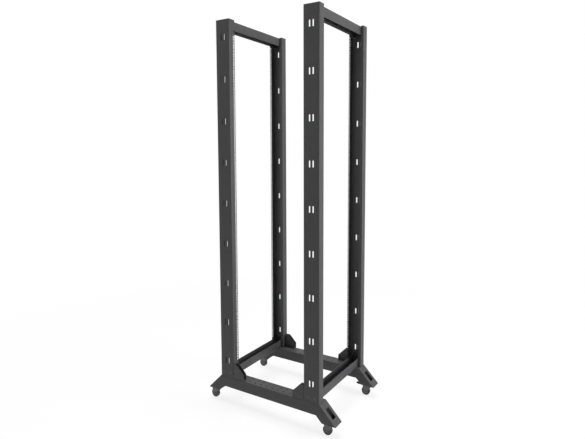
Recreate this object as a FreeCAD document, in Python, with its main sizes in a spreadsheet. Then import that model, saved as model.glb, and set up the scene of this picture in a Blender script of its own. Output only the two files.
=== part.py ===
import FreeCAD, Part
import math
import os
import Sketcher

# Four post open frame rack on casters.
# Origin on the floor under the middle of the rack, +Z up, +X to the right, the front is -Y.
# Each frame is a pair of channel posts joined by a top and a bottom beam. The two frames stand on
# two folded side rails, whose ends slope down into feet that carry the swivel casters.

DOC = FreeCAD.newDocument("OpenFrameRack")
SHEET = DOC.addObject("Spreadsheet::Sheet", "Sizes")

SIZES = {
    # rack space between the posts
    "unit_height": 44.45,
    "unit_count": 42,
    "clear_opening": 450.0,
    "unit_clearance": 1.0,
    # posts: folded channels, web outwards
    "sheet_gauge": 2.0,
    "bend_radius": 3.0,
    "web_width": 90.0,
    "flange_width": 45.0,
    "frame_depth": 640.0,
    # square holes for cage nuts
    "nut_hole": 9.5,
    "nut_hole_centres": 465.1,
    "nut_hole_first": 6.35,
    "nut_hole_step": 15.875,
    # cable slots in the posts' webs
    "slot_width": 8.0,
    "slot_length": 34.0,
    "slot_pitch": 20.0,
    "slot_units": 5,
    "slot_rows": 9,
    "slot_below_top": 92.0,
    # beams: folded channels
    "beam_depth": 56.0,
    "beam_height": 48.0,
    "beam_below_top": 2.0,
    # side rails with sloping feet
    "rail_width": 70.0,
    "rail_height": 60.0,
    "foot_drop": 33.0,
    "foot_reach": 95.0,
    "foot_heel": 15.0,
    "window_width": 30.0,
    "window_length": 60.0,
    "vent_size": 7.0,
    "vent_count": 7,
    "vent_pitch": 42.0,
    "vent_row_gap": 30.0,
    # gussets between rail and post
    "gusset_reach": 70.0,
    "gusset_end": 33.0,
    # casters
    "caster_height": 70.0,
    "caster_setout": 54.0,
    "caster_trail": 22.0,
    "foot_plate": 3.0,
    "head_plate": 3.0,
    "head_width": 56.0,
    "head_length": 60.0,
    "race_radius": 11.0,
    "race_height": 2.7,
    "kingpin_radius": 4.0,
    "kingpin_nut": 6.5,
    "nut_height": 4.5,
    "wheel_radius": 25.0,
    "tread_width": 17.0,
    "hub_radius": 8.0,
    "hub_width": 20.4,
    "axle_radius": 3.0,
    "axle_head": 5.0,
    "axle_head_height": 2.0,
    "fork_gap": 21.0,
    "fork_gauge": 2.5,
    "fork_roof": 3.0,
    "fork_nose": 14.0,
    "fork_tail": 16.0,
    "fork_chin": 8.0,
    "running_clearance": 0.05,
    "seat_clearance": 0.3,
    # brake pedal
    "pedal_pin": 1.5,
    "pedal_barrel": 2.6,
    "pedal_pin_out": 33.0,
    "pedal_pin_drop": 4.5,
    "pedal_length": 50.0,
    "pedal_width": 20.0,
    "pedal_gauge": 2.5,
    "pedal_tip_rise": 4.0,
}


# The one caster with a brake stands at the front (-1) on the right (+1).
BRAKED_CORNER = (-1, 1)


def fill_sheet():
    for row, (name, value) in enumerate(SIZES.items(), start=1):
        SHEET.set(f"A{row}", name)
        SHEET.set(f"B{row}", str(value))
        SHEET.setAlias(f"B{row}", name)
    DOC.recompute()


def named(text):
    """Put the sheet's name before every size in an expression."""
    words = []
    word = ""
    for letter in text + " ":
        if letter.isalpha() or letter == "_" or (word and letter.isdigit()):
            word += letter
            continue
        if word in DERIVED:
            word = "(" + named(DERIVED[word]) + ")"
        elif word in SIZES:
            word = "Sizes." + word
        words.append(word + letter)
        word = ""
    return "".join(words).strip()


# Places that follow from the sizes, as expressions of them.
DERIVED = {
    "half_width": "clear_opening / 2 + flange_width",
    "half_depth": "frame_depth / 2",
    "post_middle": "half_depth - web_width / 2",
    "foot_bottom": "caster_height",
    "rail_bottom": "foot_bottom + foot_drop",
    "rail_top": "rail_bottom + rail_height",
    "units_bottom": "rail_top + beam_height + unit_clearance",
    "units_top": "units_bottom + unit_count * unit_height",
    "post_top": "units_top + unit_clearance + beam_height + beam_below_top",
    "slope_start": "foot_reach - rail_height - foot_drop",
    "slope_skin": "sheet_gauge * 1.41421356",
    "caster_x": "half_width - rail_width / 2",
    "caster_y": "half_depth + caster_setout",
    "head_bottom": "caster_height - head_plate",
    "fork_top": "head_bottom - race_height - seat_clearance",
    "roof_bottom": "fork_top - fork_roof",
    "fork_width": "fork_gap + 2 * fork_gauge",
    "pedal_pin_height": "roof_bottom - pedal_pin_drop",
}


def size(text):
    """The present value of an expression of the sizes."""
    value = SHEET.evalExpression(named(text))
    return float(getattr(value, "Value", value))


def bind(thing, prop, text):
    thing.setExpression(prop, named(text))


def new_body(label):
    body = DOC.addObject("PartDesign::Body", label)
    body.Label = label
    return body


def origin_feature(body, role):
    for feature in body.Origin.OriginFeatures:
        if feature.Role == role:
            return feature
    raise ValueError(role)


def new_sketch(body, name, plane, across="0", up="0", out="0"):
    """A sketch on one of the body's origin planes, moved in the plane and out along its normal."""
    sketch = body.newObject("Sketcher::SketchObject", name)
    sketch.AttachmentSupport = [(origin_feature(body, plane), "")]
    sketch.MapMode = "FlatFace"
    bind(sketch, "AttachmentOffset.Base.x", across)
    bind(sketch, "AttachmentOffset.Base.y", up)
    bind(sketch, "AttachmentOffset.Base.z", out)
    return sketch


def draw_outline(sketch, corners):
    """A closed outline of straight lines. Each corner's place is a pair of expressions."""
    points = [FreeCAD.Vector(size(across), size(up), 0) for across, up in corners]
    first = sketch.GeometryCount
    count = len(points)
    for index, point in enumerate(points):
        line = Part.LineSegment(point, points[(index + 1) % count])
        sketch.addGeometry(line, False)
    for index in range(count):
        line = first + index
        following = first + (index + 1) % count
        sketch.addConstraint(Sketcher.Constraint("Coincident", line, 2, following, 1))
    for index, (across, up) in enumerate(corners):
        line = first + index
        place = sketch.addConstraint(Sketcher.Constraint("DistanceX", line, 1, points[index].x))
        bind(sketch, f"Constraints[{place}]", across)
        place = sketch.addConstraint(Sketcher.Constraint("DistanceY", line, 1, points[index].y))
        bind(sketch, f"Constraints[{place}]", up)


def rectangle(across, up, width, height):
    """Corners of a rectangle about a middle point."""
    left = f"({across}) - ({width}) / 2"
    right = f"({across}) + ({width}) / 2"
    low = f"({up}) - ({height}) / 2"
    high = f"({up}) + ({height}) / 2"
    return [(left, low), (right, low), (right, high), (left, high)]


def draw_circle(sketch, across, up, radius):
    middle = FreeCAD.Vector(size(across), size(up), 0)
    circle = sketch.addGeometry(Part.Circle(middle, FreeCAD.Vector(0, 0, 1), size(radius)), False)
    for kind, place in (("DistanceX", across), ("DistanceY", up)):
        value = middle.x if kind == "DistanceX" else middle.y
        constraint = sketch.addConstraint(Sketcher.Constraint(kind, circle, 3, value))
        bind(sketch, f"Constraints[{constraint}]", place)
    constraint = sketch.addConstraint(Sketcher.Constraint("Radius", circle, size(radius)))
    bind(sketch, f"Constraints[{constraint}]", radius)


def pad(body, sketch, name, length, reverse=False, both_ways=False):
    feature = body.newObject("PartDesign::Pad", name)
    feature.Profile = sketch
    bind(feature, "Length", length)
    feature.Reversed = reverse
    feature.Midplane = both_ways
    DOC.recompute()
    return feature


def pocket(body, sketch, name, depth, reverse=False, both_ways=False):
    before = body.Shape.Volume
    feature = body.newObject("PartDesign::Pocket", name)
    feature.Profile = sketch
    bind(feature, "Length", depth)
    feature.Reversed = reverse
    feature.Midplane = both_ways
    DOC.recompute()
    if body.Shape.Volume > before - 0.1:
        raise ValueError(f"{name} of {body.Label} cuts nothing")
    return feature


def repeat(body, feature, name, axis, step, count):
    """A row of copies of a feature along one of the body's axes."""
    row = body.newObject("PartDesign::LinearPattern", name)
    row.Originals = [feature]
    row.Direction = (origin_feature(body, axis), [""])
    bind(row, "Length", f"({step}) * (({count}) - 1)")
    bind(row, "Occurrences", count)
    body.Tip = row
    DOC.recompute()
    return row


def round_bends(body, feature, name, chosen):
    """Round the edges of a pad that run straight up and pass the test."""
    edges = []
    for index, edge in enumerate(feature.Shape.Edges, start=1):
        start, end = edge.Vertexes[0].Point, edge.Vertexes[-1].Point
        upright = abs(start.x - end.x) < 1e-6 and abs(start.y - end.y) < 1e-6
        if upright and chosen(start):
            edges.append(f"Edge{index}")
    fillet = body.newObject("PartDesign::Fillet", name)
    fillet.Base = (feature, edges)
    bind(fillet, "Radius", "bend_radius")
    DOC.recompute()


def make_post(label, side, end):
    """A channel post: web outwards, two flanges, nut holes in the outer flange, slots in the web."""
    body = new_body(label)
    outer = f"{side} * half_width"
    middle = f"{end} * post_middle"
    web_inside = f"{side} * (half_width - sheet_gauge)"
    free_edge = f"{side} * (half_width - flange_width)"
    back = f"{middle} - web_width / 2"
    front = f"{middle} + web_width / 2"
    section = new_sketch(body, "PostSection", "XY_Plane", out="rail_top")
    draw_outline(section, [
        (outer, back),
        (free_edge, back),
        (free_edge, f"{back} + sheet_gauge"),
        (web_inside, f"{back} + sheet_gauge"),
        (web_inside, f"{front} - sheet_gauge"),
        (free_edge, f"{front} - sheet_gauge"),
        (free_edge, front),
        (outer, front),
    ])
    channel = pad(body, section, "PostChannel", "post_top - rail_top")
    corner_x = size(outer)
    round_bends(body, channel, "PostBends", lambda point: abs(point.x - corner_x) < 0.01)

    slots = new_sketch(body, "SlotPair", "YZ_Plane", out=outer)
    lowest = "post_top - slot_below_top - (slot_rows - 1) * slot_units * unit_height"
    for across in (f"{middle} - slot_pitch / 2", f"{middle} + slot_pitch / 2"):
        draw_outline(slots, rectangle(across, lowest, "slot_width", "slot_length"))
    pair = pocket(body, slots, "Slots", "flange_width / 2", reverse=side < 0)
    repeat(body, pair, "SlotRows", "Z_Axis", "slot_units * unit_height", "slot_rows")

    holes = new_sketch(body, "UnitHoles", "XZ_Plane", out=f"{-end} * half_depth")
    for number in range(3):
        height = f"units_bottom + nut_hole_first + {number} * nut_hole_step"
        draw_outline(holes, rectangle(f"{side} * nut_hole_centres / 2", height, "nut_hole", "nut_hole"))
    unit = pocket(body, holes, "NutHoles", "web_width / 2", reverse=end > 0)
    repeat(body, unit, "Units", "Z_Axis", "unit_height", "unit_count")
    return body


def make_beam(label, end, top):
    """A folded channel between two posts. The top beam is open below and the bottom one above."""
    body = new_body(label)
    if top:
        closed, opened = "post_top - beam_below_top", "post_top - beam_below_top - beam_height"
        skin = "- sheet_gauge"
    else:
        closed, opened = "rail_top", "rail_top + beam_height"
        skin = "+ sheet_gauge"
    back = f"{end} * post_middle - beam_depth / 2"
    front = f"{end} * post_middle + beam_depth / 2"
    section = new_sketch(body, "BeamSection", "YZ_Plane")
    draw_outline(section, [
        (back, closed),
        (front, closed),
        (front, opened),
        (f"{front} - sheet_gauge", opened),
        (f"{front} - sheet_gauge", f"{closed} {skin}"),
        (f"{back} + sheet_gauge", f"{closed} {skin}"),
        (f"{back} + sheet_gauge", opened),
        (back, opened),
    ])
    pad(body, section, "BeamChannel", "2 * (half_width - sheet_gauge)", both_ways=True)
    return body


def make_rail(label, side):
    """A side rail folded over both long edges, with a sloping foot at each end."""
    body = new_body(label)
    profile = new_sketch(body, "RailProfile", "YZ_Plane", out=f"{side} * half_width")
    toe = "(half_depth + foot_reach)"
    heel = "(half_depth + foot_heel)"
    arch = "(half_depth + foot_heel - foot_drop)"
    crest = "(half_depth + slope_start)"
    draw_outline(profile, [
        (f"-1 * {toe}", "foot_bottom"),
        (f"-1 * {heel}", "foot_bottom"),
        (f"-1 * {arch}", "rail_bottom"),
        (arch, "rail_bottom"),
        (heel, "foot_bottom"),
        (toe, "foot_bottom"),
        (crest, "rail_top"),
        (f"-1 * {crest}", "rail_top"),
    ])
    pad(body, profile, "RailBlank", "rail_width", reverse=side > 0)

    hollow = new_sketch(body, "RailHollow", "YZ_Plane", out=f"{side} * (half_width - sheet_gauge)")
    inner_crest = f"({crest} + sheet_gauge - slope_skin)"
    inner_toe = f"({toe} + foot_drop - slope_skin)"
    draw_outline(hollow, [
        (f"-1 * {inner_toe}", "foot_bottom - foot_drop"),
        (inner_toe, "foot_bottom - foot_drop"),
        (inner_crest, "rail_top - sheet_gauge"),
        (f"-1 * {inner_crest}", "rail_top - sheet_gauge"),
    ])
    pocket(body, hollow, "RailInside", "rail_width - 2 * sheet_gauge", reverse=side < 0)

    # A window in each foot's slope, cut straight down through the skin.
    windows = new_sketch(body, "FootWindows", "XY_Plane", out="rail_top")
    drop = "window_length * 0.70710678"
    along = f"({crest} + (rail_height + foot_drop) / 2)"
    for place in (along, f"-1 * {along}"):
        draw_outline(windows, rectangle(f"{side} * caster_x", place, "window_width", drop))
    pocket(body, windows, "WindowCut", "rail_height + foot_drop")

    vents = new_sketch(body, "VentPair", "XY_Plane", out="rail_top")
    first = "-1 * vent_pitch * (vent_count - 1) / 2"
    for row in (-1, 1):
        across = f"{side} * caster_x + {row} * vent_row_gap / 2"
        draw_outline(vents, rectangle(across, first, "vent_size", "vent_size"))
    pair = pocket(body, vents, "Vents", "rail_height / 2")
    repeat(body, pair, "VentRows", "Y_Axis", "vent_pitch", "vent_count")
    return body


def make_gusset(label, side, end):
    """A folded bracket in the corner of post and rail, open along its slope."""
    body = new_body(label)
    foot = f"{end} * (half_depth - web_width)"
    tip = f"{end} * (half_depth - web_width - gusset_reach)"
    profile = new_sketch(body, "GussetProfile", "YZ_Plane", out=f"{side} * half_width")
    draw_outline(profile, [
        (foot, "rail_top"),
        (tip, "rail_top"),
        (tip, "rail_top + gusset_end"),
        (foot, "rail_top + gusset_end + gusset_reach"),
    ])
    pad(body, profile, "GussetBlank", "flange_width", reverse=side > 0)
    hollow = new_sketch(body, "GussetHollow", "YZ_Plane", out=f"{side} * (half_width - sheet_gauge)")
    wall = f"{end} * (half_depth - web_width - sheet_gauge)"
    beyond = f"{end} * (half_depth - web_width - 2 * gusset_reach)"
    above = "rail_top + gusset_end + 2 * gusset_reach"
    draw_outline(hollow, [
        (wall, "rail_top + sheet_gauge"),
        (beyond, "rail_top + sheet_gauge"),
        (beyond, above),
        (wall, above),
    ])
    pocket(body, hollow, "GussetInside", "flange_width - 2 * sheet_gauge", reverse=side < 0)
    return body


def make_foot_plate(label, side, end):
    """The plate inside a foot that the caster is fastened to."""
    plate = DOC.addObject("Part::Box", label)
    plate.Label = label
    width = "(rail_width - 2 * sheet_gauge)"
    length = "(foot_reach - foot_heel - foot_plate - slope_skin - sheet_gauge)"
    start = "(half_depth + foot_heel + sheet_gauge)"
    bind(plate, "Width", length)
    bind(plate, "Length", width)
    bind(plate, "Height", "foot_plate")
    bind(plate, "Placement.Base.x", f"{side} * caster_x - {width} / 2")
    near = start if end > 0 else f"-1 * {start} - {length}"
    bind(plate, "Placement.Base.y", near)
    bind(plate, "Placement.Base.z", "foot_bottom")
    return plate


def make_head(label, side, end):
    """A caster's fixed head: top plate, ball race, kingpin and nut."""
    body = new_body(label)
    across, along = f"{side} * caster_x", f"{end} * caster_y"
    plate = new_sketch(body, "HeadPlate", "XY_Plane", out="head_bottom")
    draw_outline(plate, rectangle(across, along, "head_width", "head_length"))
    pad(body, plate, "Plate", "head_plate")
    race = new_sketch(body, "RaceCircle", "XY_Plane", out="head_bottom")
    draw_circle(race, across, along, "race_radius")
    pad(body, race, "Race", "race_height", reverse=True)
    pin = new_sketch(body, "KingpinCircle", "XY_Plane", out="head_bottom")
    draw_circle(pin, across, along, "kingpin_radius")
    reach = "head_bottom - roof_bottom + seat_clearance + nut_height"
    pad(body, pin, "Kingpin", reach, reverse=True)
    nut = new_sketch(body, "NutHexagon", "XY_Plane", out="roof_bottom - seat_clearance")
    corners = []
    for number in range(6):
        turn = math.radians(60 * number)
        corners.append((f"{across} + kingpin_nut * {math.cos(turn):.8f}",
                        f"{along} + kingpin_nut * {math.sin(turn):.8f}"))
    draw_outline(nut, corners)
    pad(body, nut, "Nut", "nut_height", reverse=True)
    return body


def make_fork(label, side, end, braked=False):
    """A caster's swivelling fork, trailing to the rear, with holes for kingpin and axle."""
    body = new_body(label)
    across, along = f"{side} * caster_x", f"{end} * caster_y"
    wheel = f"({along} + caster_trail)"
    profile = new_sketch(body, "ForkProfile", "YZ_Plane", out=across)
    draw_outline(profile, [
        (f"{along} - fork_nose", "fork_top"),
        (f"{along} - fork_nose", "roof_bottom - fork_roof"),
        (f"{wheel} - axle_head - fork_gauge", "wheel_radius - fork_chin / 2"),
        (f"{wheel} - axle_head", "wheel_radius - fork_chin"),
        (f"{wheel} + axle_head", "wheel_radius - fork_chin"),
        (f"{wheel} + axle_head + fork_gauge", "wheel_radius - fork_chin / 2"),
        (f"{wheel} + fork_tail", "roof_bottom - 2 * pedal_pin_drop"),
        (f"{wheel} + fork_tail", "roof_bottom"),
        (f"{wheel}", "fork_top"),
    ])
    pad(body, profile, "ForkBlank", "fork_width", both_ways=True)
    inside = new_sketch(body, "ForkInside", "YZ_Plane", out=across)
    draw_outline(inside, [
        (f"{along} - 2 * fork_nose", "0"),
        (f"{wheel} + 2 * fork_tail", "0"),
        (f"{wheel} + 2 * fork_tail", "roof_bottom"),
        (f"{along} - 2 * fork_nose", "roof_bottom"),
    ])
    pocket(body, inside, "ForkGap", "fork_gap", both_ways=True)
    axle = new_sketch(body, "AxleCircle", "YZ_Plane", out=across)
    draw_circle(axle, wheel, "wheel_radius", "axle_radius + running_clearance")
    pocket(body, axle, "AxleHoles", "2 * fork_width", both_ways=True)
    pin = new_sketch(body, "KingpinHole", "XY_Plane", out="fork_top")
    draw_circle(pin, across, along, "kingpin_radius + running_clearance")
    pocket(body, pin, "KingpinCut", "2 * fork_roof")
    if braked:
        hinge = new_sketch(body, "PedalPinCircle", "YZ_Plane", out=across)
        draw_circle(hinge, f"{along} + pedal_pin_out", "pedal_pin_height", "pedal_pin + running_clearance")
        pocket(body, hinge, "PedalPinHoles", "2 * fork_width", both_ways=True)
    return body


def make_axle(label, side, end):
    """The rivet through fork and wheel, with a flat head outside each cheek."""
    body = new_body(label)
    across, along = f"{side} * caster_x", f"({end} * caster_y + caster_trail)"
    rod = new_sketch(body, "AxleSection", "YZ_Plane", out=across)
    draw_circle(rod, along, "wheel_radius", "axle_radius")
    pad(body, rod, "Axle", "fork_width + 2 * running_clearance", both_ways=True)
    for hand in (-1, 1):
        face = f"{across} + {hand} * (fork_width / 2 + running_clearance)"
        head = new_sketch(body, "AxleHead", "YZ_Plane", out=face)
        draw_circle(head, along, "wheel_radius", "axle_head")
        pad(body, head, "Head", "axle_head_height", reverse=hand < 0)
    return body


def make_wheel(label, side, end):
    """A caster wheel turned about its axle: hub, coned sides and flat tread."""
    body = new_body(label)
    across, along = f"{side} * caster_x", f"({end} * caster_y + caster_trail)"
    section = new_sketch(body, "WheelSection", "XZ_Plane",
                         across=across, up="wheel_radius", out=f"-1 * {along}")
    bore = "axle_radius + running_clearance"
    draw_outline(section, [
        ("-1 * hub_width / 2", bore),
        ("hub_width / 2", bore),
        ("hub_width / 2", "hub_radius"),
        ("tread_width / 2", "wheel_radius"),
        ("-1 * tread_width / 2", "wheel_radius"),
        ("-1 * hub_width / 2", "hub_radius"),
    ])
    turned = body.newObject("PartDesign::Revolution", "WheelTurned")
    turned.Profile = section
    turned.ReferenceAxis = (section, ["H_Axis"])
    turned.Angle = 360
    DOC.recompute()
    return body


def make_pedal(label, side, end):
    """The brake pedal: a barrel on its pin between the fork's cheeks, and a lever with a raised tip."""
    body = new_body(label)
    across = f"{side} * caster_x"
    pin_y = f"({end} * caster_y + pedal_pin_out)"
    barrel = new_sketch(body, "BarrelSection", "YZ_Plane", out=across)
    draw_circle(barrel, pin_y, "pedal_pin_height", "pedal_barrel")
    pad(body, barrel, "Barrel", "fork_gap - 2 * seat_clearance", both_ways=True)
    pin = new_sketch(body, "PinSection", "YZ_Plane", out=across)
    draw_circle(pin, pin_y, "pedal_pin_height", "pedal_pin")
    pad(body, pin, "Pin", "fork_width", both_ways=True)
    lever = new_sketch(body, "LeverProfile", "YZ_Plane", out=across)
    low = "pedal_pin_height - pedal_gauge / 2"
    high = "pedal_pin_height + pedal_gauge / 2"
    bend = f"{pin_y} + pedal_length * 0.7"
    tip = f"{pin_y} + pedal_length"
    draw_outline(lever, [
        (pin_y, low),
        (bend, low),
        (tip, f"{low} + pedal_tip_rise"),
        (tip, f"{high} + pedal_tip_rise"),
        (bend, high),
        (pin_y, high),
    ])
    pad(body, lever, "Lever", "pedal_width", both_ways=True)
    return body


def make_all():
    bodies = []
    sides = {"left": -1, "right": 1}
    ends = {"front": -1, "rear": 1}
    for end_name, end in ends.items():
        bodies.append(make_beam(f"top_beam_{end_name}", end, top=True))
        bodies.append(make_beam(f"bottom_beam_{end_name}", end, top=False))
        for side_name, side in sides.items():
            place = f"{end_name}_{side_name}"
            bodies.append(make_post(f"post_{place}", side, end))
            bodies.append(make_gusset(f"gusset_{place}", side, end))
            bodies.append(make_foot_plate(f"foot_plate_{place}", side, end))
            bodies.append(make_head(f"caster_head_{place}", side, end))
            braked = (end, side) == BRAKED_CORNER
            bodies.append(make_fork(f"caster_fork_{place}", side, end, braked))
            bodies.append(make_axle(f"caster_axle_{place}", side, end))
            bodies.append(make_wheel(f"caster_wheel_{place}", side, end))
    for side_name, side in sides.items():
        bodies.append(make_rail(f"side_rail_{side_name}", side))
    end, side = BRAKED_CORNER
    bodies.append(make_pedal("brake_pedal", side, end))
    return bodies


def check(bodies):
    for thing in DOC.Objects:
        if "Invalid" in thing.State or "Error" in thing.State:
            raise ValueError(f"{thing.Label} failed: {thing.State}")
    for body in bodies:
        shape = body.Shape
        if shape.isNull() or not shape.isValid() or len(shape.Solids) != 1:
            raise ValueError(f"{body.Label} is not one valid solid")


def export(bodies):
    os.makedirs("parts", exist_ok=True)
    for body in bodies:
        body.Shape.exportStep(f"parts/{body.Label}.step")


fill_sheet()
BODIES = make_all()
DOC.recompute()
check(BODIES)
export(BODIES)
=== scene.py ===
import math

import bmesh
import bpy
from bpy.props import FloatProperty, FloatVectorProperty, IntProperty, PointerProperty
from mathutils import Matrix, Vector


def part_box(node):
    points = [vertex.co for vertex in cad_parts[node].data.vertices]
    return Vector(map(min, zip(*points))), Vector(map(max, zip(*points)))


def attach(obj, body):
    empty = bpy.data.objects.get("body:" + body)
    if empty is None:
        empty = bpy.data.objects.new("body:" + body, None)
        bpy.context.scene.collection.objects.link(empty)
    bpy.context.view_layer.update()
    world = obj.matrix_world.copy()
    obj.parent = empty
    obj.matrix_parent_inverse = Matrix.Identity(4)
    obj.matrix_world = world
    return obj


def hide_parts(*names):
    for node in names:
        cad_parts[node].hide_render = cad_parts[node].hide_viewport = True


bl_info = {
    "name": "Open frame rack",
    "version": (1, 0, 0),
    "blender": (4, 5, 0),
    "location": "3D View > Sidebar > Rack",
    "description": "Dresses a four post open frame rack around its fixed frame",
    "category": "Object",
}

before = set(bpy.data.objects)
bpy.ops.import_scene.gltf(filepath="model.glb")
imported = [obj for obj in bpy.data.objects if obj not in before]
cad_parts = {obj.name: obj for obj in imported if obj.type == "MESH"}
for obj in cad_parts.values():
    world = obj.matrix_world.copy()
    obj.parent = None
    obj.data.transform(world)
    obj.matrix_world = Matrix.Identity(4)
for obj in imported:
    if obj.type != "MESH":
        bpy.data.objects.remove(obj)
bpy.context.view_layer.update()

MM = 0.001
SIDES = {"left": -1, "right": 1}
ENDS = {"front": -1, "rear": 1}
CORNERS = [(end, side) for end in ENDS for side in SIDES]
TURNED_POST = ("rear", "left")

# Places in the frame that several pieces share, in metres.
POST_LOW, POST_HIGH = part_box("post_front_left")
HALF_WIDTH = -POST_LOW.x
FLANGE_WIDTH = POST_HIGH.x - POST_LOW.x
WEB_WIDTH = POST_HIGH.y - POST_LOW.y
HALF_DEPTH = -POST_LOW.y
POST_TOP = POST_HIGH.z
RAIL_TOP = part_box("side_rail_left")[1].z

# Height of a side rail's walls, and how far beyond the posts its feet start to slope.
RAIL_WALL = 60 * MM
HEEL_GAP = 15 * MM

# Vertices nearer to each other than this are merged.
SAME_PLACE = 1e-5
# Decimals that tell two lines on a sheet apart, and the step that they stand for.
DIGITS = 7
HAIR = 10 ** -DIGITS


# ---------------------------------------------------------------- sizes and colours

class RackSizes(bpy.types.PropertyGroup):
    """Sizes of the sheet metal and of its holes."""

    sheet: FloatProperty(
        name="Sheet gauge", description="Thickness of the folded sheet",
        default=2 * MM, unit="LENGTH")
    bend: FloatProperty(
        name="Bend radius", description="Outer radius of every fold",
        default=3 * MM, unit="LENGTH")
    unit_height: FloatProperty(
        name="Rack unit", description="Height of one rack unit",
        default=44.45 * MM, unit="LENGTH")
    unit_count: IntProperty(
        name="Units", description="Number of rack units", default=42, min=2)
    units_bottom: FloatProperty(
        name="First unit", description="Height of the first unit above the post's foot",
        default=49 * MM, unit="LENGTH")
    nut_hole: FloatProperty(
        name="Nut hole", description="Side of a square nut hole",
        default=9.5 * MM, unit="LENGTH")
    nut_hole_place: FloatProperty(
        name="Nut hole place", description="Middle of the nut holes from the web's outer face",
        default=37.45 * MM, unit="LENGTH")
    slot_width: FloatProperty(
        name="Slot width", description="Width of a cable slot", default=8 * MM, unit="LENGTH")
    slot_length: FloatProperty(
        name="Slot length", description="Length of a cable slot",
        default=34 * MM, unit="LENGTH")
    slot_pitch: FloatProperty(
        name="Slot pitch", description="Distance between the two slots of a pair",
        default=20 * MM, unit="LENGTH")
    slot_units: IntProperty(
        name="Slot step", description="Rack units from one slot pair to the next", default=5)
    slot_below_top: FloatProperty(
        name="Highest slot", description="Middle of the highest slots below the post's top",
        default=92 * MM, unit="LENGTH")
    lip: FloatProperty(
        name="Lip", description="Width of the lip on the plain flange",
        default=18 * MM, unit="LENGTH")
    beam_depth: FloatProperty(
        name="Beam depth", description="Depth of a beam from wall to wall",
        default=54 * MM, unit="LENGTH")
    gusset_width: FloatProperty(
        name="Gusset width", description="Width of a gusset over both cheeks",
        default=24 * MM, unit="LENGTH")
    gusset_reach: FloatProperty(
        name="Gusset reach", description="Length of a gusset along the rail",
        default=70 * MM, unit="LENGTH")
    gusset_end: FloatProperty(
        name="Gusset end", description="Height of a gusset at its low end",
        default=33 * MM, unit="LENGTH")
    gusset_flat: FloatProperty(
        name="Gusset top", description="Length of a gusset's level top",
        default=24 * MM, unit="LENGTH")
    screw: FloatProperty(
        name="Screw hole", description="Radius of a screw's hole in the web",
        default=5 * MM, unit="LENGTH")
    screw_pitch: FloatProperty(
        name="Screw pitch", description="Distance between the two screws in a post's foot",
        default=40 * MM, unit="LENGTH")
    vent: FloatProperty(
        name="Vent", description="Diameter of a vent in the rail", default=9 * MM, unit="LENGTH")
    vent_pitch: FloatProperty(
        name="Vent pitch", description="Distance between vents along the rail",
        default=38 * MM, unit="LENGTH")
    vent_row_gap: FloatProperty(
        name="Vent row gap", description="Distance between the two rows of vents",
        default=30 * MM, unit="LENGTH")
    vent_count: IntProperty(
        name="Vents", description="Vents in each row", default=8, min=1)
    window_width: FloatProperty(
        name="Window width", description="Width of the window in a foot",
        default=30 * MM, unit="LENGTH")
    window_length: FloatProperty(
        name="Window length", description="Length of the window along the foot's slope",
        default=60 * MM, unit="LENGTH")


class RackFinish(bpy.types.PropertyGroup):
    """Colours of the finishes."""

    powder: FloatVectorProperty(
        name="Powder coat", description="Colour of the powder coated steel",
        subtype="COLOR", default=(0.046, 0.046, 0.048))
    plated: FloatVectorProperty(
        name="Plated steel", description="Colour of the casters' plated steel",
        subtype="COLOR", default=(0.105, 0.105, 0.108))
    wheel: FloatVectorProperty(
        name="Wheel", description="Colour of the wheels' moulded discs",
        subtype="COLOR", default=(0.16, 0.16, 0.165))
    tread: FloatVectorProperty(
        name="Tread", description="Colour of the wheels' treads",
        subtype="COLOR", default=(0.045, 0.045, 0.047))
    pedal: FloatVectorProperty(
        name="Pedal", description="Colour of the brake pedal",
        subtype="COLOR", default=(0.012, 0.012, 0.012))


# ---------------------------------------------------------------- materials

def new_material(name, colour, roughness, metallic=0.0):
    """A material, its node tree, its shader and its object coordinates.

    The last three are None if the material has been made before.
    """
    material = bpy.data.materials.get(name)
    if material is not None:
        return material, None, None, None
    material = bpy.data.materials.new(name)
    material.use_nodes = True
    tree = material.node_tree
    shader = tree.nodes["Principled BSDF"]
    shader.inputs["Base Color"].default_value = (*colour, 1)
    shader.inputs["Roughness"].default_value = roughness
    shader.inputs["Metallic"].default_value = metallic
    place = tree.nodes.new("ShaderNodeTexCoord")
    return material, tree, shader, place.outputs["Object"]


def noise(tree, place, scale, detail=3.0):
    """The value of a noise pattern, between 0 and 1."""
    node = tree.nodes.new("ShaderNodeTexNoise")
    node.inputs["Scale"].default_value = scale
    node.inputs["Detail"].default_value = detail
    tree.links.new(place, node.inputs["Vector"])
    return node.outputs["Fac"]


def spread(tree, value, low, high):
    """A value between 0 and 1, taken to a range."""
    node = tree.nodes.new("ShaderNodeMapRange")
    node.inputs["To Min"].default_value = low
    node.inputs["To Max"].default_value = high
    tree.links.new(value, node.inputs["Value"])
    return node.outputs["Result"]


def vary_colour(tree, shader, value, colour, amount):
    """Let the shader's colour follow a value from a darker to a lighter shade of it."""
    ramp = tree.nodes.new("ShaderNodeValToRGB")
    dark, light = ramp.color_ramp.elements
    dark.position = 0.3
    dark.color = (*(part * (1 - amount) for part in colour), 1)
    light.position = 0.7
    light.color = (*(part * (1 + amount) for part in colour), 1)
    tree.links.new(value, ramp.inputs["Fac"])
    tree.links.new(ramp.outputs["Color"], shader.inputs["Base Color"])


def add_bump(tree, shader, value, strength, distance):
    """Roughen the shader's surface by a value that is taken as a height."""
    bump = tree.nodes.new("ShaderNodeBump")
    bump.inputs["Strength"].default_value = strength
    bump.inputs["Distance"].default_value = distance
    tree.links.new(value, bump.inputs["Height"])
    tree.links.new(bump.outputs["Normal"], shader.inputs["Normal"])


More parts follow.
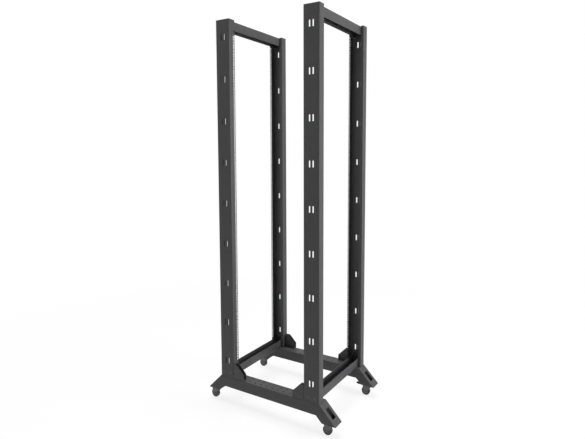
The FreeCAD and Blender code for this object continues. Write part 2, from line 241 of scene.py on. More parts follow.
def powder_coat():
    """Satin powder coat: a fine orange peel with slow changes of shade."""
    colour = bpy.context.scene.rack_finish.powder
    material, tree, shader, place = new_material("satin_powder_coat", colour, roughness=0.5)
    if tree:
        vary_colour(tree, shader, noise(tree, place, scale=9.0, detail=4.0), colour, 0.05)
        grain = noise(tree, place, scale=700.0, detail=2.0)
        tree.links.new(spread(tree, grain, 0.42, 0.58), shader.inputs["Roughness"])
        add_bump(tree, shader, grain, strength=0.12, distance=0.2 * MM)
        shader.inputs["Specular IOR Level"].default_value = 0.3
    return material


def plated_steel():
    """Dark plated steel with fine streaks across its upright faces."""
    colour = bpy.context.scene.rack_finish.plated
    material, tree, shader, place = new_material(
        "dark_plated_steel", colour, roughness=0.42, metallic=0.7)
    if tree:
        vary_colour(tree, shader, noise(tree, place, scale=120.0), colour, 0.15)
        stretch = tree.nodes.new("ShaderNodeMapping")
        stretch.inputs["Scale"].default_value = (1.0, 1.0, 12.0)
        tree.links.new(place, stretch.inputs["Vector"])
        streaks = noise(tree, stretch.outputs["Vector"], scale=300.0)
        tree.links.new(spread(tree, streaks, 0.34, 0.52), shader.inputs["Roughness"])
        add_bump(tree, shader, streaks, strength=0.1, distance=0.1 * MM)
    return material


def moulded(name, colour, roughness):
    """Moulded plastic or rubber with a fine grain."""
    material, tree, shader, place = new_material(name, colour, roughness)
    if tree:
        grain = noise(tree, place, scale=1500.0, detail=2.0)
        vary_colour(tree, shader, noise(tree, place, scale=60.0), colour, 0.1)
        tree.links.new(spread(tree, grain, roughness - 0.06, roughness + 0.06),
                       shader.inputs["Roughness"])
        add_bump(tree, shader, grain, strength=0.15, distance=0.1 * MM)
        shader.inputs["Specular IOR Level"].default_value = 0.25
    return material


def wheel_plastic():
    return moulded("grey_wheel_plastic", bpy.context.scene.rack_finish.wheel, 0.5)


def tread_rubber():
    return moulded("dark_tread_rubber", bpy.context.scene.rack_finish.tread, 0.6)


def pedal_plastic():
    return moulded("black_pedal_plastic", bpy.context.scene.rack_finish.pedal, 0.45)


# ---------------------------------------------------------------- meshes

def new_object(name, data):
    """An object of the scene with a mesh, a lamp or a camera, at the origin."""
    thing = bpy.data.objects.new(name, data)
    bpy.context.scene.collection.objects.link(thing)
    return thing


def mesh_of(shape, name):
    """A mesh with an edited shape's faces. The shape is freed."""
    mesh = bpy.data.meshes.new(name)
    shape.to_mesh(mesh)
    shape.free()
    return mesh


def smooth_by_angle(mesh, degrees=35):
    """Shade a mesh smooth, but for edges that turn by more than an angle."""
    mesh.polygons.foreach_set("use_smooth", [True] * len(mesh.polygons))
    mesh.set_sharp_from_angle(angle=math.radians(degrees))


def apply_modifiers(thing):
    """Turn the evaluated object into a plain mesh with no modifiers."""
    evaluated = thing.evaluated_get(bpy.context.evaluated_depsgraph_get())
    mesh = bpy.data.meshes.new_from_object(evaluated)
    thing.modifiers.clear()
    thing.data = mesh
    return mesh


def bevel(thing, width, segments, degrees):
    """Round the edges that turn by more than an angle."""
    modifier = thing.modifiers.new("Bevel", "BEVEL")
    modifier.width = width
    modifier.segments = segments
    modifier.limit_method = "ANGLE"
    modifier.angle_limit = math.radians(degrees)
    modifier.use_clamp_overlap = True


def solidify(thing, thickness, offset):
    """Give an open sheet its gauge, to both sides at offset 0 and inwards at offset -1."""
    modifier = thing.modifiers.new("Solidify", "SOLIDIFY")
    modifier.thickness = thickness
    modifier.offset = offset
    modifier.use_even_offset = True


def finish_piece(thing, body, material, replaced):
    """Give a piece its material and its body, and hide the nodes that it stands for."""
    if material is not None:
        thing.data.materials.clear()
        thing.data.materials.append(material)
    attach(thing, body)
    for node in replaced:
        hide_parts(node)


def softened_copy(node, name, width, degrees=30):
    """A copy of a frame node with its sharp edges rounded off."""
    shape = bmesh.new()
    shape.from_mesh(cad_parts[node].data)
    bmesh.ops.remove_doubles(shape, verts=shape.verts, dist=SAME_PLACE)
    bmesh.ops.dissolve_limit(shape, angle_limit=math.radians(0.5),
                             verts=shape.verts, edges=shape.edges)
    thing = new_object(name, mesh_of(shape, name))
    bevel(thing, width, 2, degrees)
    smooth_by_angle(apply_modifiers(thing))
    return thing


def row_tree():
    """A geometry tree that repeats a piece of mesh in a straight row."""
    tree = bpy.data.node_groups.get("straight_row")
    if tree is not None:
        return tree
    tree = bpy.data.node_groups.new("straight_row", "GeometryNodeTree")
    for name, kind in (("Geometry", "NodeSocketGeometry"), ("Count", "NodeSocketInt"),
                       ("Step", "NodeSocketVector"), ("Material", "NodeSocketMaterial")):
        tree.interface.new_socket(name, in_out="INPUT", socket_type=kind)
    tree.interface.new_socket("Geometry", in_out="OUTPUT", socket_type="NodeSocketGeometry")
    nodes, links = tree.nodes, tree.links
    source = nodes.new("NodeGroupInput")
    line = nodes.new("GeometryNodeMeshLine")
    line.mode = "OFFSET"
    copies = nodes.new("GeometryNodeInstanceOnPoints")
    realize = nodes.new("GeometryNodeRealizeInstances")
    paint = nodes.new("GeometryNodeSetMaterial")
    result = nodes.new("NodeGroupOutput")
    links.new(source.outputs["Count"], line.inputs["Count"])
    links.new(source.outputs["Step"], line.inputs["Offset"])
    links.new(line.outputs["Mesh"], copies.inputs["Points"])
    links.new(source.outputs["Geometry"], copies.inputs["Instance"])
    links.new(copies.outputs["Instances"], realize.inputs["Geometry"])
    links.new(realize.outputs["Geometry"], paint.inputs["Geometry"])
    links.new(source.outputs["Material"], paint.inputs["Material"])
    links.new(paint.outputs["Geometry"], result.inputs["Geometry"])
    return tree


def repeat_mesh(mesh, count, step, material):
    """The mesh repeated in a row by Geometry Nodes, as one plain mesh."""
    thing = new_object("row", mesh)
    modifier = thing.modifiers.new("Row", "NODES")
    modifier.node_group = row_tree()
    values = {"Count": count, "Step": step, "Material": material}
    for item in modifier.node_group.interface.items_tree:
        if item.in_out == "INPUT" and item.name in values:
            modifier[item.identifier] = values[item.name]
    row = apply_modifiers(thing)
    bpy.data.objects.remove(thing)
    return row


def join_meshes(name, meshes):
    """One mesh from several, with the vertices on their common edges merged."""
    shape = bmesh.new()
    for mesh in meshes:
        shape.from_mesh(mesh)
    bmesh.ops.remove_doubles(shape, verts=shape.verts, dist=SAME_PLACE)
    bmesh.ops.recalc_face_normals(shape, faces=shape.faces)
    return mesh_of(shape, name)


def skin(name, rings, closed=False):
    """A mesh over rings of places. It is capped at both ends, or closes in itself."""
    shape = bmesh.new()
    rings = [[shape.verts.new(place) for place in ring] for ring in rings]
    run = rings + rings[:1] if closed else rings
    for ring, following in zip(run, run[1:]):
        for index, vertex in enumerate(ring):
            after = (index + 1) % len(ring)
            shape.faces.new([vertex, ring[after], following[after], following[index]])
    if not closed:
        shape.faces.new(rings[0])
        shape.faces.new(rings[-1])
    bmesh.ops.recalc_face_normals(shape, faces=shape.faces)
    return mesh_of(shape, name)


# ---------------------------------------------------------------- sheet with holes

class Sheet:
    """A flat sheet of cells between lines across and lines up, some of which are left open.

    The fold turns a place (x, y) on the sheet into a place in the frame.
    """

    def __init__(self, across, up, fold):
        self.across = sorted(set(across))
        self.up = sorted(set(up))
        self.fold = fold
        self.shape = bmesh.new()
        self.points = {}

    def point(self, x, y):
        """The vertex at a place on the sheet, made the first time it is asked for."""
        key = (round(x, DIGITS), round(y, DIGITS))
        if key not in self.points:
            self.points[key] = self.shape.verts.new(self.fold(x, y))
        return self.points[key]

    def cells(self, is_open):
        """Fill every cell whose middle isn't open."""
        for left, right in zip(self.across, self.across[1:]):
            for low, high in zip(self.up, self.up[1:]):
                if is_open((left + right) / 2, (low + high) / 2):
                    continue
                self.shape.faces.new([self.point(left, low), self.point(right, low),
                                      self.point(right, high), self.point(left, high)])

    def round_corner(self, corner, centre, radius, segments=4):
        """Fill the corner of an opening outside a quarter circle about the centre."""
        side = 1 if corner[0] > centre[0] else -1
        end = 1 if corner[1] > centre[1] else -1
        arc = []
        for step in range(segments + 1):
            turn = math.pi / 2 * step / segments
            arc.append((centre[0] + side * radius * math.cos(turn),
                        centre[1] + end * radius * math.sin(turn)))
        low, high = sorted((corner[1], arc[0][1]))
        between = [(corner[0], up) for up in self.up if low + HAIR < up < high - HAIR]
        between.sort(key=lambda place: -end * place[1])
        outline = [self.point(*place) for place in [*arc, corner, *between]]
        if side * end < 0:
            outline.reverse()
        self.shape.faces.new(outline)

    def round_opening(self, left, right, low, high):
        """Round the four corners of an opening into half circles at its low and high ends."""
        middle, radius = (left + right) / 2, (right - left) / 2
        for edge in (left, right):
            self.round_corner((edge, low), (middle, low + radius), radius)
            self.round_corner((edge, high), (middle, high - radius), radius)

    def mesh(self, name):
        return mesh_of(self.shape, name)


# ---------------------------------------------------------------- posts

def bend_points(centre, radius, start, segments=4):
    """Points of a quarter bend, from an angle in quarters of a turn onwards."""
    points = []
    for step in range(segments + 1):
        turn = math.pi / 2 * (start + step / segments)
        points.append((centre[0] + radius * math.cos(turn), centre[1] + radius * math.sin(turn)))
    return points


def post_section(sizes):
    """The middle line of a post's section: inward from the web, and across the web.

    It runs from the edge of the flange with the nut holes, along the web, to the lip.
    """
    half = sizes.sheet / 2
    bend = sizes.bend
    radius = bend - half
    half_hole = sizes.nut_hole / 2
    line = [(FLANGE_WIDTH, WEB_WIDTH - half),
            (sizes.nut_hole_place + half_hole, WEB_WIDTH - half),
            (sizes.nut_hole_place - half_hole, WEB_WIDTH - half)]
    line += bend_points((bend, WEB_WIDTH - bend), radius, 1)
    web_places = []
    for hand in (1, -1):
        for edge in (1, 0, -1):
            web_places.append(hand * sizes.slot_pitch / 2 + edge * sizes.slot_width / 2)
            web_places.append(hand * sizes.screw_pitch / 2 + edge * sizes.screw)
    line += [(half, WEB_WIDTH / 2 + place) for place in sorted(web_places, reverse=True)]
    line += bend_points((bend, bend), radius, 2)
    line += bend_points((FLANGE_WIDTH - bend, bend), radius, 3)
    line.append((FLANGE_WIDTH - half, sizes.lip))
    return line


def slot_steps(sizes):
    """Steps from a post's lowest pair of slots to its highest."""
    return (sizes.unit_count - 1) // sizes.slot_units


def screw_height():
    """Height of the screws, in the middle of the bottom beams."""
    low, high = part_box("bottom_beam_front")
    return (low.z + high.z) / 2


class PostSheet:
    """The sheet that a post is folded from, made in stretches.

    A place on it is a length along the section's line and a height. The section starts at
    the plain flange's outer face and lies in the given direction from it, along Y.
    """

    def __init__(self, sizes, side, plain_face, direction):
        self.sizes = sizes
        self.side = side
        self.plain_face = plain_face
        self.direction = direction
        self.base = RAIL_TOP + sizes.units_bottom
        self.line = post_section(sizes)
        self.lengths = [0.0]
        for before, after in zip(self.line, self.line[1:]):
            self.lengths.append(self.lengths[-1] + math.dist(before, after))
        flange, half_hole = WEB_WIDTH - sizes.sheet / 2, sizes.nut_hole / 2
        self.hole_span = (self.length_at(sizes.nut_hole_place + half_hole, flange),
                          self.length_at(sizes.nut_hole_place - half_hole, flange))
        self.slot_spans = self.web_spans(sizes.slot_pitch, sizes.slot_width / 2)
        self.screw_spans = self.web_spans(sizes.screw_pitch, sizes.screw)

    def fold(self, length, height):
        """The place in the frame of a place on the sheet."""
        last = len(self.line) - 2
        index = next((i for i in range(last) if length <= self.lengths[i + 1] + HAIR), last)
        start, stop = self.line[index], self.line[index + 1]
        share = (length - self.lengths[index]) / (self.lengths[index + 1] - self.lengths[index])
        inward = start[0] + share * (stop[0] - start[0])
        across = start[1] + share * (stop[1] - start[1])
        return (self.side * (HALF_WIDTH - inward),
                self.plain_face + self.direction * across, height)

    def length_at(self, inward, across):
        """The length at one of the points of the section's line."""
        return next(length for place, length in zip(self.line, self.lengths)
                    if math.dist(place, (inward, across)) < HAIR)

    def web_spans(self, pitch, reach):
        """The lengths where each of a pair of openings in the web starts and ends."""
        web = self.sizes.sheet / 2
        middles = [WEB_WIDTH / 2 + hand * pitch / 2 for hand in (1, -1)]
        return [(self.length_at(web, middle + reach), self.length_at(web, middle - reach))
                for middle in middles]

    def stretch(self, units):
        """A stretch from the first unit upwards, with its nut holes and one pair of slots."""
        sizes = self.sizes
        unit, hole = sizes.unit_height, sizes.nut_hole
        up = [self.base, self.base + units * unit]
        open_heights = []
        for number in range(units):
            for middle in (unit / 7, unit / 2, unit * 6 / 7):
                low = self.base + number * unit + middle - hole / 2
                up += [low, low + hole]
                open_heights.append((low, low + hole))
        lowest = POST_TOP - sizes.slot_below_top - slot_steps(sizes) * sizes.slot_units * unit
        low, high = lowest - sizes.slot_length / 2, lowest + sizes.slot_length / 2
        round_end = sizes.slot_width / 2
        up += [low, low + round_end, high - round_end, high]

        def is_open(length, height):
            if self.hole_span[0] < length < self.hole_span[1]:
                return any(a < height < b for a, b in open_heights)
            return low < height < high and any(a < length < b for a, b in self.slot_spans)

        sheet = Sheet(self.lengths, up, self.fold)
        sheet.cells(is_open)
        for first, last in self.slot_spans:
            sheet.round_opening(first, last, low, high)
        return sheet.mesh("stretch")

    def plain(self, low, high):
        """A stretch with no holes."""
        sheet = Sheet(self.lengths, [low, high], self.fold)
        sheet.cells(lambda length, height: False)
        return sheet.mesh("plain")

    def foot(self):
        """The stretch below the first unit, with its two screw holes."""
        middle, reach = screw_height(), self.sizes.screw
        low, high = middle - reach, middle + reach

        def is_open(length, height):
            return low < height < high and any(a < length < b for a, b in self.screw_spans)

        sheet = Sheet(self.lengths, [RAIL_TOP, low, middle, high, self.base], self.fold)
        sheet.cells(is_open)
        for first, last in self.screw_spans:
            sheet.round_opening(first, last, low, high)
        return sheet.mesh("foot")


def make_post(end_name, side_name):
    """A folded post: a foot, stretches with nut holes and slots, and a plain top."""
    sizes = bpy.context.scene.rack_sizes
    side, end = SIDES[side_name], ENDS[end_name]
    holed = -1 if (end_name, side_name) == TURNED_POST else 1
    plain_face = end * (HALF_DEPTH - WEB_WIDTH / 2) - holed * WEB_WIDTH / 2
    sheet = PostSheet(sizes, side, plain_face, holed)

    steps = slot_steps(sizes)
    rise = sizes.slot_units * sizes.unit_height
    run = repeat_mesh(sheet.stretch(sizes.slot_units), steps, (0, 0, rise), powder_coat())
    last = sheet.stretch(sizes.unit_count - steps * sizes.slot_units)
    last.transform(Matrix.Translation((0, 0, steps * rise)))
    units_top = sheet.base + sizes.unit_count * sizes.unit_height

    name = f"post_{end_name}_{side_name}"
    mesh = join_meshes(name, [sheet.foot(), run, last, sheet.plain(units_top, POST_TOP)])
    post = new_object(f"{name}_sheet", mesh)
    solidify(post, sizes.sheet, 0)
    smooth_by_angle(apply_modifiers(post))
    finish_piece(post, "frame", powder_coat(), [name])


class RACK_OT_posts(bpy.types.Operator):
    """Make the four posts"""

    bl_idname = "rack.posts"
    bl_label = "Posts"

    def execute(self, context):
        for end_name, side_name in CORNERS:
            make_post(end_name, side_name)
        return {"FINISHED"}


# ---------------------------------------------------------------- folded pieces

def face_outwards(shape):
    """Turn an open shell so that its faces point away from its middle."""
    bmesh.ops.recalc_face_normals(shape, faces=shape.faces)
    middle = sum((v.co for v in shape.verts), Vector()) / len(shape.verts)
    lean = sum(face.normal.dot(face.calc_center_median() - middle) * face.calc_area()
               for face in shape.faces)
    if lean < 0:
        bmesh.ops.reverse_faces(shape, faces=shape.faces)


def folded_piece(node, shape):
    """Give an open shell its bends and its gauge, in the place of a frame node."""
    sizes = bpy.context.scene.rack_sizes
    face_outwards(shape)
    piece = new_object(f"{node}_sheet", mesh_of(shape, node))
    bevel(piece, sizes.bend, 3, 60)
    solidify(piece, sizes.sheet, -1)
    smooth_by_angle(apply_modifiers(piece))
    finish_piece(piece, "frame", powder_coat(), [node])


# ---------------------------------------------------------------- side rails

def rail_top(sizes, low, high):
    """A rail's level top with its vents and its two sloping feet with their windows."""
    middle, half_width = (low.x + high.x) / 2, (high.x - low.x) / 2
    toe = high.y
    crest = toe - (RAIL_TOP - low.z)
    rows = [-sizes.vent_row_gap / 2, sizes.vent_row_gap / 2]
    radius = sizes.vent / 2
    window_x = sizes.window_width / 2
    # The feet slope by 45 degrees, so from above their windows look shorter.
    window_y = sizes.window_length / 2 * math.sqrt(0.5)
    across = [-half_width, half_width, -window_x, window_x]
    for row in rows:
        across += [row - radius, row, row + radius]

    def on_top(x, y):
        return (middle + x, y, RAIL_TOP - max(0.0, abs(y) - crest))

    pitch = sizes.vent_pitch
    start = -pitch * sizes.vent_count / 2
    first = start + pitch / 2
    lines = [start, first - radius, first, first + radius, start + pitch]
    cell = Sheet(across, lines, on_top)
    cell.cells(lambda x, y: abs(y - first) < radius
               and any(abs(x - row) < radius for row in rows))
    for row in rows:
        cell.round_opening(row - radius, row + radius, first - radius, first + radius)
    vents = repeat_mesh(cell.mesh("vent_cell"), sizes.vent_count, (0, pitch, 0), powder_coat())

    meshes = [vents]
    window_middle = crest + (toe - crest) / 2
    window = (window_middle - window_y, window_middle + window_y)
    for end in ENDS.values():
        foot = Sheet(across, [end * y for y in (-start, crest, *window, toe)], on_top)
        foot.cells(lambda x, y: abs(x) < window_x and window[0] < abs(y) < window[1])
        meshes.append(foot.mesh("foot"))
    return join_meshes("rail_top", meshes)


def add_walls(shape, low, high):
    """Add a rail's side walls, from the edges of its top down to the feet's heels."""
    drop = RAIL_TOP - low.z - RAIL_WALL
    heel = HALF_DEPTH + HEEL_GAP
    lower = ((heel, low.z), (heel - drop, low.z + drop),
             (drop - heel, low.z + drop), (-heel, low.z))
    for x in (low.x, high.x):
        edge = sorted((v for v in shape.verts if abs(v.co.x - x) < SAME_PLACE),
                      key=lambda v: v.co.y)
        shape.faces.new(edge + [shape.verts.new((x, y, z)) for y, z in lower])


def make_rail(side_name):
    """A side rail: a top with vents, sloping feet with windows, and two side walls."""
    node = f"side_rail_{side_name}"
    low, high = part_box(node)
    shape = bmesh.new()
    shape.from_mesh(rail_top(bpy.context.scene.rack_sizes, low, high))
    add_walls(shape, low, high)
    folded_piece(node, shape)


class RACK_OT_rails(bpy.types.Operator):
    """Make the two side rails with their feet"""

    bl_idname = "rack.rails"
    bl_label = "Side rails"

    def execute(self, context):
        for side_name in SIDES:
            make_rail(side_name)
        return {"FINISHED"}


# ---------------------------------------------------------------- beams and brackets

def make_beam(place, end_name):
    """A folded channel between two posts. The top beam is open below and the bottom one above."""
    sizes = bpy.context.scene.rack_sizes
    node = f"{place}_beam_{end_name}"
    low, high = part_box(node)
    closed, opened = (high.z, low.z) if place == "top" else (low.z, high.z)
    middle = (low.y + high.y) / 2
    half = sizes.beam_depth / 2
    corners = [(middle - half, opened), (middle - half, closed),
               (middle + half, closed), (middle + half, opened)]
    shape = bmesh.new()
    left, right = [[shape.verts.new((x, y, z)) for y, z in corners] for x in (low.x, high.x)]
    for index in range(len(corners) - 1):
        shape.faces.new([left[index], left[index + 1], right[index + 1], right[index]])
    folded_piece(node, shape)


def make_gusset(end_name, side_name):
    """A bracket between rail and post: two cheeks, a wall and a base, open along the slope."""
    sizes = bpy.context.scene.rack_sizes
    node = f"gusset_{end_name}_{side_name}"
    side, end = SIDES[side_name], ENDS[end_name]
    foot = end * (HALF_DEPTH - WEB_WIDTH)
    tip = foot - end * sizes.gusset_reach
    flat = foot - end * sizes.gusset_flat
    top = RAIL_TOP + sizes.gusset_end + sizes.gusset_reach - sizes.gusset_flat
    profile = [(foot, RAIL_TOP), (tip, RAIL_TOP), (tip, RAIL_TOP + sizes.gusset_end),
               (flat, top), (foot, top)]
    shape = bmesh.new()
    cheeks = []
    for x in (side * HALF_WIDTH, side * (HALF_WIDTH - sizes.gusset_width)):
        cheek = [shape.verts.new((x, y, z)) for y, z in profile]
        shape.faces.new(cheek)
        cheeks.append(cheek)
    outer, inner = cheeks
    shape.faces.new([outer[0], outer[1], inner[1], inner[0]])
    shape.faces.new([outer[4], outer[0], inner[0], inner[4]])
    folded_piece(node, shape)


def screw_head(radius, side):
    """A flush round screw head with a hexagonal socket, its foot in the plane x = 0."""
    count = 24
    edge, socket = radius * 0.86, radius * 0.5
    # Each ring's reach, its height in millimetres, and whether it has six sides.
    profile = ((radius, 0.0, False), (radius, 1.2, False), (edge, 1.6, False),
               (socket, 1.6, True), (socket, 0.8, True))
    rings = []
    for reach, height, six_sided in profile:
        ring = []
        for step in range(count):
            turn = 2 * math.pi * step / count
            lean = turn % (math.pi / 3) - math.pi / 6
            far = reach * math.cos(math.pi / 6) / math.cos(lean) if six_sided else reach
            ring.append((side * height * MM, far * math.cos(turn), far * math.sin(turn)))
        rings.append(ring)
    return skin("screw_head", rings)


def make_screws():
    """Pairs of flush screws through the foot of each post's web, into the end of a bottom beam."""
    sizes = bpy.context.scene.rack_sizes
    gap = 0.2 * MM
    meshes = []
    for end_name, side_name in CORNERS:
        side, end = SIDES[side_name], ENDS[end_name]
        head = screw_head(sizes.screw - gap, side)
        middle = end * (HALF_DEPTH - WEB_WIDTH / 2)
        place = (side * (HALF_WIDTH - sizes.sheet), middle - sizes.screw_pitch / 2,
                 screw_height())
        head.transform(Matrix.Translation(place))
        meshes.append(repeat_mesh(head, 2, (0, sizes.screw_pitch, 0), plated_steel()))
    screws = new_object("beam_screws", join_meshes("beam_screws", meshes))
    smooth_by_angle(screws.data)
    finish_piece(screws, "frame", plated_steel(), [])


class RACK_OT_brackets(bpy.types.Operator):
    """Make the beams, the gussets, the plates in the feet and the screws"""

    bl_idname = "rack.brackets"
    bl_label = "Beams and brackets"

    def execute(self, context):
        for end_name in ENDS:
            for place in ("top", "bottom"):
                make_beam(place, end_name)
        for end_name, side_name in CORNERS:
            make_gusset(end_name, side_name)
            node = f"foot_plate_{end_name}_{side_name}"
            plate = softened_copy(node, f"{node}_sheet", 0.5 * MM)
            finish_piece(plate, "frame", powder_coat(), [node])
        make_screws()
        return {"FINISHED"}


# ---------------------------------------------------------------- casters

def lathe(name, profile, centre, segments=64):
    """A ring turned about a line along X through the centre.

    The profile's points are (x, radius), and its last point joins its first.
    """
    rings = []
    for step in range(segments):
        turn = 2 * math.pi * step / segments
        rings.append([centre + Vector((x, radius * math.cos(turn), radius * math.sin(turn)))
                      for x, radius in profile])
    return skin(name, rings, closed=True)


def make_wheel(place):
    """A moulded wheel with a dished disc, a raised hub and a dark tread."""
    node = f"caster_wheel_{place}"
    low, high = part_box(node)
    centre = (low + high) / 2
    radius = (high.z - low.z) / 2
    bore, hub = 3.05 * MM, 8 * MM
    tread_depth = 4 * MM
    # The tread's sides stand back from the hub's, which stay clear of the fork.
    half = (high.x - low.x) / 2 - 1.4 * MM
    hub_side = [(half + 1 * MM, bore), (half + 1 * MM, hub - 1 * MM), (half, hub),
                (half - 2.5 * MM, hub + 0.5 * MM)]
    rim_side = [(half - 2.5 * MM, radius - 6.5 * MM), (half - 0.5 * MM, radius - 5 * MM),
                (half - 0.2 * MM, radius - 2 * MM), (half - 1 * MM, radius - 0.6 * MM),
                (half - 2.4 * MM, radius)]
    right_side = hub_side + rim_side
    left_side = [(-x, reach) for x, reach in reversed(right_side)]
    mesh = lathe(node, right_side + left_side, centre)
    wheel = new_object(f"{node}_turned", mesh)
    mesh.materials.append(wheel_plastic())
    mesh.materials.append(tread_rubber())
    for face in mesh.polygons:
        from_centre = face.center - centre
        reach = math.hypot(from_centre.y, from_centre.z)
        face.material_index = 1 if reach > radius - tread_depth else 0
    smooth_by_angle(mesh, 30)
    finish_piece(wheel, f"wheel_{place}", None, [node])


# Stations of the brake pedal's lever: share of its length, and in millimetres the rise of its
# middle above the pin, half its thickness and half its width.
LEVER = (
    (0.0, 0.4, 1.5, 9.0),
    (0.25, 0.4, 1.5, 9.0),
    (0.5, 0.8, 2.0, 8.6),
    (0.72, 2.0, 3.0, 9.2),
    (0.86, 3.0, 3.4, 9.4),
    (0.95, 3.6, 3.0, 8.0),
    (1.0, 3.8, 1.4, 5.2),
)


def pedal_lever(middle, pin_y, pin_z, tip_y, sides=16):
    """A flat lever with rounded edges, which thickens into a raised tip."""
    rings = []
    for share, rise, half_thickness, half_width in LEVER:
        y = pin_y + share * (tip_y - pin_y)
        ring = []
        for step in range(sides):
            turn = 2 * math.pi * step / sides
            # A power well under 1 makes the round section nearly square at its edges.
            across = math.copysign(abs(math.cos(turn)) ** 0.4, math.cos(turn))
            ring.append((middle + half_width * MM * across, y,
                         pin_z + rise * MM + half_thickness * MM * math.sin(turn)))
        rings.append(ring)
    return skin("lever", rings)


def make_pedal():
    """The brake pedal: a barrel on its pin, with a lever."""
    node = "brake_pedal"
    low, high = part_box(node)
    middle, half_pin = (low.x + high.x) / 2, (high.x - low.x) / 2
    barrel, half_barrel = 2.6 * MM, 10.2 * MM
    pin, core = 1.4 * MM, 0.05 * MM
    pin_y, pin_z = low.y + barrel, low.z + barrel
    lever = pedal_lever(middle, pin_y, pin_z, high.y - 0.4 * MM)
    rod = [(-half_pin, core), (-half_pin, pin), (-half_barrel, pin), (-half_barrel, barrel),
           (half_barrel, barrel), (half_barrel, pin), (half_pin, pin), (half_pin, core)]
    turned = lathe("rod", rod, Vector((middle, pin_y, pin_z)), 32)
    pedal = new_object("brake_pedal_moulded", join_meshes(node, [lever, turned]))
    smooth_by_angle(pedal.data)
    finish_piece(pedal, "pedal", pedal_plastic(), [node])


class RACK_OT_casters(bpy.types.Operator):
    """Make the four casters and the brake pedal"""

    bl_idname = "rack.casters"
    bl_label = "Casters"

    def execute(self, context):
        for end_name, side_name in CORNERS:
            place = f"{end_name}_{side_name}"
            parts = (("caster_head", "frame"), ("caster_fork", f"fork_{place}"),
                     ("caster_axle", f"fork_{place}"))
            for kind, body in parts:
                node = f"{kind}_{place}"
                piece = softened_copy(node, f"{node}_plated", 0.4 * MM)
                finish_piece(piece, body, plated_steel(), [node])
            make_wheel(place)
        make_pedal()
        return {"FINISHED"}


# ---------------------------------------------------------------- stage

CAMERA_PLACE = (-2.2609, -1.4580, 1.4273)
CAMERA_DEGREES = (85, 0, -59.156)
CAMERA_SHIFT = (-0.0303, -0.0434)
CAMERA_LENS = 29.33

# Name, place, side of the square and power of each lamp, and the place that they all face.
LAMPS = (
    ("key", (1.2, -4.5, 1.6), 2.0, 190),
    ("top", (0, 0, 5.0), 3.0, 270),
    ("side", (-4.2, 2.0, 1.6), 1.5, 10),
)
LAMP_TARGET = (0, 0, 1.0)
WORLD_STRENGTH = 0.1

# From the near to the far distance the floor's own glow grows, which hides its far shading.
FLOOR_DISTANCES = (0.8, 3.0)
FLOOR_GLOW = (0.84, 1.0)


def seen_directly(tree):
    """1 for rays that show the background: from the camera, off gloss or through glass."""
    path = tree.nodes.new("ShaderNodeLightPath")
    total = path.outputs["Is Camera Ray"]
    for name in ("Is Glossy Ray", "Is Transmission Ray"):
        either = tree.nodes.new("ShaderNodeMath")
        either.operation = "MAXIMUM"
        tree.links.new(total, either.inputs[0])
        tree.links.new(path.outputs[name], either.inputs[1])
        total = either.outputs[0]
    return total


def blend(tree, share, first, second, result):
    """Lead to the result from the first shader, or as far as the share goes from the second."""
    mix = tree.nodes.new("ShaderNodeMixShader")
    tree.links.new(share, mix.inputs["Fac"])
    tree.links.new(first.outputs[0], mix.inputs[1])
    tree.links.new(second.outputs[0], mix.inputs[2])
    tree.links.new(mix.outputs[0], result.inputs["Surface"])


def make_floor():
    """A pale floor that looks white and keeps a light shadow of the rack."""
    shape = bmesh.new()
    bmesh.ops.create_grid(shape, x_segments=1, y_segments=1, size=30)
    floor = new_object("floor", mesh_of(shape, "floor"))
    material = bpy.data.materials.new("pale_floor")
    material.use_nodes = True
    tree = material.node_tree
    tree.nodes.clear()
    matt = tree.nodes.new("ShaderNodeBsdfDiffuse")
    matt.inputs["Color"].default_value = (0.9, 0.9, 0.9, 1)
    glow = tree.nodes.new("ShaderNodeEmission")
    place = tree.nodes.new("ShaderNodeTexCoord")
    reach = tree.nodes.new("ShaderNodeVectorMath")
    reach.operation = "LENGTH"
    tree.links.new(place.outputs["Object"], reach.inputs[0])
    fade = tree.nodes.new("ShaderNodeMapRange")
    fade.inputs["From Min"].default_value = FLOOR_DISTANCES[0]
    fade.inputs["From Max"].default_value = FLOOR_DISTANCES[1]
    fade.inputs["To Min"].default_value = FLOOR_GLOW[0]
    fade.inputs["To Max"].default_value = FLOOR_GLOW[1]
    tree.links.new(reach.outputs["Value"], fade.inputs["Value"])
    share = tree.nodes.new("ShaderNodeMath")
    share.operation = "MULTIPLY"
    tree.links.new(seen_directly(tree), share.inputs[0])
    tree.links.new(fade.outputs["Result"], share.inputs[1])
    result = tree.nodes.new("ShaderNodeOutputMaterial")
    blend(tree, share.outputs[0], matt, glow, result)
    floor.data.materials.append(material)


def make_world():
    """A world that lights the rack softly and looks white."""
    world = bpy.data.worlds.new("studio")
    world.use_nodes = True
    tree = world.node_tree
    tree.nodes.clear()
    backgrounds = []
    for strength in (WORLD_STRENGTH, 1):
        background = tree.nodes.new("ShaderNodeBackground")
        background.inputs["Color"].default_value = (1, 1, 1, 1)
        background.inputs["Strength"].default_value = strength
        backgrounds.append(background)
    soft, white = backgrounds
    result = tree.nodes.new("ShaderNodeOutputWorld")
    blend(tree, seen_directly(tree), soft, white, result)
    bpy.context.scene.world = world


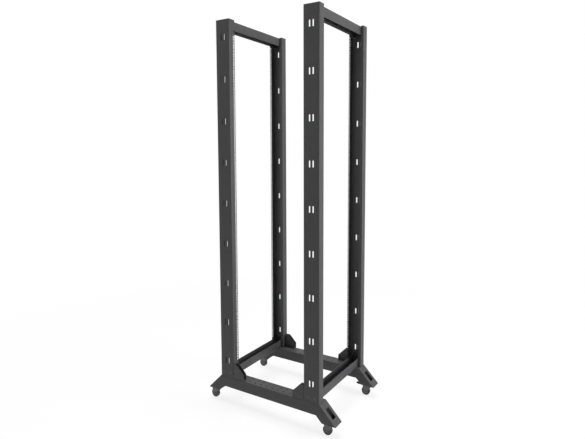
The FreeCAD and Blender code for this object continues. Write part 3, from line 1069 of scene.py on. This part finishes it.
def make_lamp(name, place, size, power):
    """A square lamp that faces the middle of the rack."""
    lamp = bpy.data.lights.new(name, "AREA")
    lamp.shape = "SQUARE"
    lamp.size = size
    lamp.energy = power
    thing = new_object(name, lamp)
    thing.location = place
    direction = Vector(LAMP_TARGET) - Vector(place)
    thing.rotation_euler = direction.to_track_quat("-Z", "Y").to_euler()


def make_camera():
    """The camera, turned a little downwards, so that a small shift frames the whole rack."""
    camera = bpy.data.cameras.new("camera")
    camera.lens = CAMERA_LENS
    camera.sensor_width = 36
    camera.shift_x, camera.shift_y = CAMERA_SHIFT
    thing = new_object("camera", camera)
    thing.location = CAMERA_PLACE
    thing.rotation_euler = [math.radians(angle) for angle in CAMERA_DEGREES]
    bpy.context.scene.camera = thing


class RACK_OT_stage(bpy.types.Operator):
    """Make the camera, the floor, the world and the lamps"""

    bl_idname = "rack.stage"
    bl_label = "Stage"

    def execute(self, context):
        make_camera()
        make_floor()
        make_world()
        for lamp in LAMPS:
            make_lamp(*lamp)
        context.scene.view_settings.view_transform = "Standard"
        return {"FINISHED"}


# ---------------------------------------------------------------- add-on

OPERATORS = (RACK_OT_posts, RACK_OT_rails, RACK_OT_brackets, RACK_OT_casters, RACK_OT_stage)


class RACK_PT_panel(bpy.types.Panel):
    """Lists the sizes, the colours and the steps that dress the rack"""

    bl_label = "Open frame rack"
    bl_idname = "RACK_PT_panel"
    bl_space_type = "VIEW_3D"
    bl_region_type = "UI"
    bl_category = "Rack"

    def draw(self, context):
        for group in (context.scene.rack_sizes, context.scene.rack_finish):
            for name in group.__annotations__:
                self.layout.prop(group, name)
        for operator in OPERATORS:
            self.layout.operator(operator.bl_idname)


CLASSES = (RackSizes, RackFinish, *OPERATORS, RACK_PT_panel)


def register():
    for item in CLASSES:
        bpy.utils.register_class(item)
    bpy.types.Scene.rack_sizes = PointerProperty(type=RackSizes)
    bpy.types.Scene.rack_finish = PointerProperty(type=RackFinish)


def unregister():
    del bpy.types.Scene.rack_finish
    del bpy.types.Scene.rack_sizes
    for item in reversed(CLASSES):
        bpy.utils.unregister_class(item)


def main():
    register()
    bpy.ops.rack.posts()
    bpy.ops.rack.rails()
    bpy.ops.rack.brackets()
    bpy.ops.rack.casters()
    bpy.ops.rack.stage()


if __name__ == "__main__":
    main()
